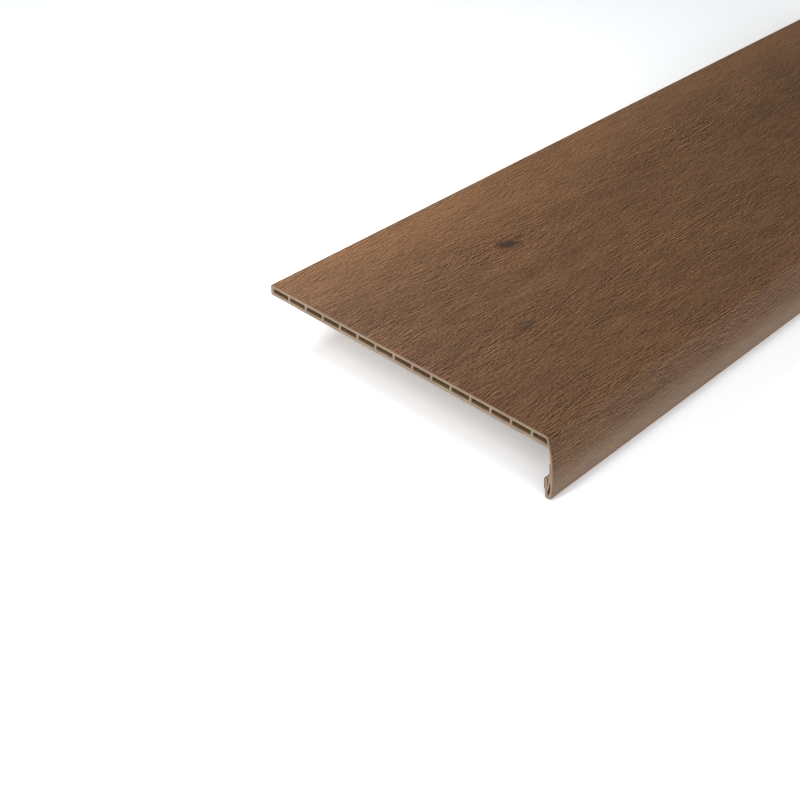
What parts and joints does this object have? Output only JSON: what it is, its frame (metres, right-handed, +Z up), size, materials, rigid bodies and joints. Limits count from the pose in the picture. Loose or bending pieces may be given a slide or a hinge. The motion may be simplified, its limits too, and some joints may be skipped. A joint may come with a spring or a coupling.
{
  "type": "stair tread",
  "caption": "Hollow-core composite stair tread with a wood-look skin and a deep downturned nosing, made to be fixed over an existing step.",
  "frame": {"origin": "on the floor under the middle of the bounding box, level with the foot of the nosing", "axes": "+X along the stock, -Y towards the nosing at the front, +Z up out of the walking surface"},
  "size_m": [1, 0.3, 0.055],
  "materials": {
    "composite_core": "extruded wood-plastic composite, fine matt grain",
    "wood_decor": "brown oak print, embossed, satin"
  },
  "bodies": {
    "root": {"hollow_core_board": "composite_core", "wood_look_skin": "wood_decor"}
  },
  "joints": []
}
